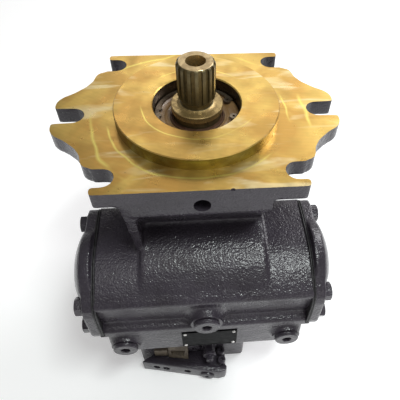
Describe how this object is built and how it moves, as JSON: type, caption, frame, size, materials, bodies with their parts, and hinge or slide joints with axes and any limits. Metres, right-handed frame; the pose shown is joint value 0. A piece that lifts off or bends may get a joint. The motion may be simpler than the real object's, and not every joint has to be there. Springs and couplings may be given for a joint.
{
  "type": "axial piston pump",
  "caption": "Variable axial piston pump with splined shaft, two- and four-bolt flange, tilting swashplate, cross stroking cylinder and control valve.",
  "frame": {"origin": "centre of the rear cover's flat end, on the shaft axis", "axes": "+Z along the drive shaft towards its splined end, -Y towards the stroking chamber and nameplate, +X right seen from that side"},
  "size_m": [0.265, 0.2485, 0.354],
  "materials": {
    "paint": "glossy dark purplish grey paint over rough cast iron",
    "dark_steel": "oiled dark steel",
    "steel": "ground",
    "bronze": "satin bronze",
    "black_rubber": "matt",
    "brown_rubber": "satin",
    "plate_black": "satin black plate with no lettering"
  },
  "bodies": {
    "pump_case": {"housing": "paint", "port_block": "paint", "rear_cover": "paint", "front_bearing_outer_race": "steel", "seal_carrier": "bronze", "shaft_seal": "brown_rubber", "retaining_ring": "dark_steel", "rear_bearing": "steel", "cradle_block": "steel", "cradle_bearing_front": "bronze", "cradle_bearing_back": "bronze", "valve_plate": "bronze", "centring_spring": "steel", "side_cover_left": "paint", "side_cover_right": "paint", "cover_gasket_left": "black_rubber", "cover_gasket_right": "black_rubber", "cover_bolt_left_1": "paint", "cover_bolt_left_2": "paint", "cover_bolt_left_3": "paint", "cover_bolt_left_4": "paint", "cover_bolt_right_1": "paint", "cover_bolt_right_2": "paint", "cover_bolt_right_3": "paint", "cover_bolt_right_4": "paint", "port_plug_left": "paint", "port_plug_right": "paint", "port_plug_middle": "paint", "control_valve_body": "paint", "valve_cartridge": "steel", "nameplate": "plate_black"},
    "rotating_shaft": {"drive_shaft": "dark_steel", "front_bearing_inner_race": "steel", "ball_guide": "steel", "cylinder_barrel": "steel", "barrel_spring": "steel"},
    "swash": {"swashplate": "steel", "stroke_lever": "steel"},
    "retainer": {"retainer_plate": "steel"},
    "stroker": {"stroking_piston": "steel"},
    "spool": {"control_spool": "steel"},
    "slipper_body_1": {"slipper_1": "bronze"},
    "piston_body_1": {"piston_1": "steel"},
    "slipper_body_2": {"slipper_2": "bronze"},
    "piston_body_2": {"piston_2": "steel"},
    "slipper_body_3": {"slipper_3": "bronze"},
    "piston_body_3": {"piston_3": "steel"},
    "slipper_body_4": {"slipper_4": "bronze"},
    "piston_body_4": {"piston_4": "steel"},
    "slipper_body_5": {"slipper_5": "bronze"},
    "piston_body_5": {"piston_5": "steel"},
    "slipper_body_6": {"slipper_6": "bronze"},
    "piston_body_6": {"piston_6": "steel"},
    "slipper_body_7": {"slipper_7": "bronze"},
    "piston_body_7": {"piston_7": "steel"},
    "slipper_body_8": {"slipper_8": "bronze"},
    "piston_body_8": {"piston_8": "steel"},
    "slipper_body_9": {"slipper_9": "bronze"},
    "piston_body_9": {"piston_9": "steel"}
  },
  "joints": [
    {"name": "shaft_spin", "type": "hinge", "parent": "pump_case", "child": "rotating_shaft", "pos_m": [0, 0, 0.2], "axis": [0, 0, 1], "continuous": true},
    {"name": "swash_tilt", "type": "hinge", "parent": "pump_case", "child": "swash", "pos_m": [0, 0, 0.212], "axis": [0, 1, 0], "range_deg": [-15, 15], "stiffness_Nm_per_rad": 60},
    {"name": "stroker_slide", "type": "slide", "parent": "pump_case", "child": "stroker", "axis": [1, 0, 0], "range_m": [-0.0125, 0.0125]},
    {"name": "spool_slide", "type": "slide", "parent": "pump_case", "child": "spool", "axis": [1, 0, 0], "range_m": [-0.003, 0.003], "stiffness_N_per_m": 1500},
    {"name": "retainer_spin", "type": "hinge", "parent": "swash", "child": "retainer", "pos_m": [0, 0, 0.212], "axis": [0, 0, 1], "continuous": true},
    {"name": "slipper_turn_1", "type": "hinge", "parent": "retainer", "child": "slipper_body_1", "pos_m": [0.037, 0, 0.212], "axis": [0, 0, 1], "continuous": true},
    {"name": "piston_swing_1", "type": "hinge", "parent": "slipper_body_1", "child": "piston_body_1", "pos_m": [0.037, 0, 0.212], "axis": [0, 1, 0], "range_deg": [-16, 16]},
    {"name": "slipper_turn_2", "type": "hinge", "parent": "retainer", "child": "slipper_body_2", "pos_m": [0.02834, 0.02378, 0.212], "axis": [0, 0, 1], "continuous": true},
    {"name": "piston_swing_2", "type": "hinge", "parent": "slipper_body_2", "child": "piston_body_2", "pos_m": [0.02834, 0.02378, 0.212], "axis": [0, 1, 0], "range_deg": [-16, 16]},
    {"name": "slipper_turn_3", "type": "hinge", "parent": "retainer", "child": "slipper_body_3", "pos_m": [0.00643, 0.03644, 0.212], "axis": [0, 0, 1], "continuous": true},
    {"name": "piston_swing_3", "type": "hinge", "parent": "slipper_body_3", "child": "piston_body_3", "pos_m": [0.00643, 0.03644, 0.212], "axis": [0, 1, 0], "range_deg": [-16, 16]},
    {"name": "slipper_turn_4", "type": "hinge", "parent": "retainer", "child": "slipper_body_4", "pos_m": [-0.0185, 0.03204, 0.212], "axis": [0, 0, 1], "continuous": true},
    {"name": "piston_swing_4", "type": "hinge", "parent": "slipper_body_4", "child": "piston_body_4", "pos_m": [-0.0185, 0.03204, 0.212], "axis": [0, 1, 0], "range_deg": [-16, 16]},
    {"name": "slipper_turn_5", "type": "hinge", "parent": "retainer", "child": "slipper_body_5", "pos_m": [-0.03477, 0.01265, 0.212], "axis": [0, 0, 1], "continuous": true},
    {"name": "piston_swing_5", "type": "hinge", "parent": "slipper_body_5", "child": "piston_body_5", "pos_m": [-0.03477, 0.01265, 0.212], "axis": [0, 1, 0], "range_deg": [-16, 16]},
    {"name": "slipper_turn_6", "type": "hinge", "parent": "retainer", "child": "slipper_body_6", "pos_m": [-0.03477, -0.01265, 0.212], "axis": [0, 0, 1], "continuous": true},
    {"name": "piston_swing_6", "type": "hinge", "parent": "slipper_body_6", "child": "piston_body_6", "pos_m": [-0.03477, -0.01265, 0.212], "axis": [0, 1, 0], "range_deg": [-16, 16]},
    {"name": "slipper_turn_7", "type": "hinge", "parent": "retainer", "child": "slipper_body_7", "pos_m": [-0.0185, -0.03204, 0.212], "axis": [0, 0, 1], "continuous": true},
    {"name": "piston_swing_7", "type": "hinge", "parent": "slipper_body_7", "child": "piston_body_7", "pos_m": [-0.0185, -0.03204, 0.212], "axis": [0, 1, 0], "range_deg": [-16, 16]},
    {"name": "slipper_turn_8", "type": "hinge", "parent": "retainer", "child": "slipper_body_8", "pos_m": [0.00643, -0.03644, 0.212], "axis": [0, 0, 1], "continuous": true},
    {"name": "piston_swing_8", "type": "hinge", "parent": "slipper_body_8", "child": "piston_body_8", "pos_m": [0.00643, -0.03644, 0.212], "axis": [0, 1, 0], "range_deg": [-16, 16]},
    {"name": "slipper_turn_9", "type": "hinge", "parent": "retainer", "child": "slipper_body_9", "pos_m": [0.02834, -0.02378, 0.212], "axis": [0, 0, 1], "continuous": true},
    {"name": "piston_swing_9", "type": "hinge", "parent": "slipper_body_9", "child": "piston_body_9", "pos_m": [0.02834, -0.02378, 0.212], "axis": [0, 1, 0], "range_deg": [-16, 16]}
  ],
  "couplings": [
    {"joint": "stroker_slide", "follows": "swash_tilt", "m_per_rad": -0.044},
    {"joint": "retainer_spin", "follows": "shaft_spin", "ratio": 1},
    {"joint": "slipper_turn_1", "follows": "shaft_spin", "ratio": -1},
    {"joint": "piston_swing_1", "follows": "swash_tilt", "ratio": -1},
    {"joint": "slipper_turn_2", "follows": "shaft_spin", "ratio": -1},
    {"joint": "piston_swing_2", "follows": "swash_tilt", "ratio": -1},
    {"joint": "slipper_turn_3", "follows": "shaft_spin", "ratio": -1},
    {"joint": "piston_swing_3", "follows": "swash_tilt", "ratio": -1},
    {"joint": "slipper_turn_4", "follows": "shaft_spin", "ratio": -1},
    {"joint": "piston_swing_4", "follows": "swash_tilt", "ratio": -1},
    {"joint": "slipper_turn_5", "follows": "shaft_spin", "ratio": -1},
    {"joint": "piston_swing_5", "follows": "swash_tilt", "ratio": -1},
    {"joint": "slipper_turn_6", "follows": "shaft_spin", "ratio": -1},
    {"joint": "piston_swing_6", "follows": "swash_tilt", "ratio": -1},
    {"joint": "slipper_turn_7", "follows": "shaft_spin", "ratio": -1},
    {"joint": "piston_swing_7", "follows": "swash_tilt", "ratio": -1},
    {"joint": "slipper_turn_8", "follows": "shaft_spin", "ratio": -1},
    {"joint": "piston_swing_8", "follows": "swash_tilt", "ratio": -1},
    {"joint": "slipper_turn_9", "follows": "shaft_spin", "ratio": -1},
    {"joint": "piston_swing_9", "follows": "swash_tilt", "ratio": -1}
  ]
}
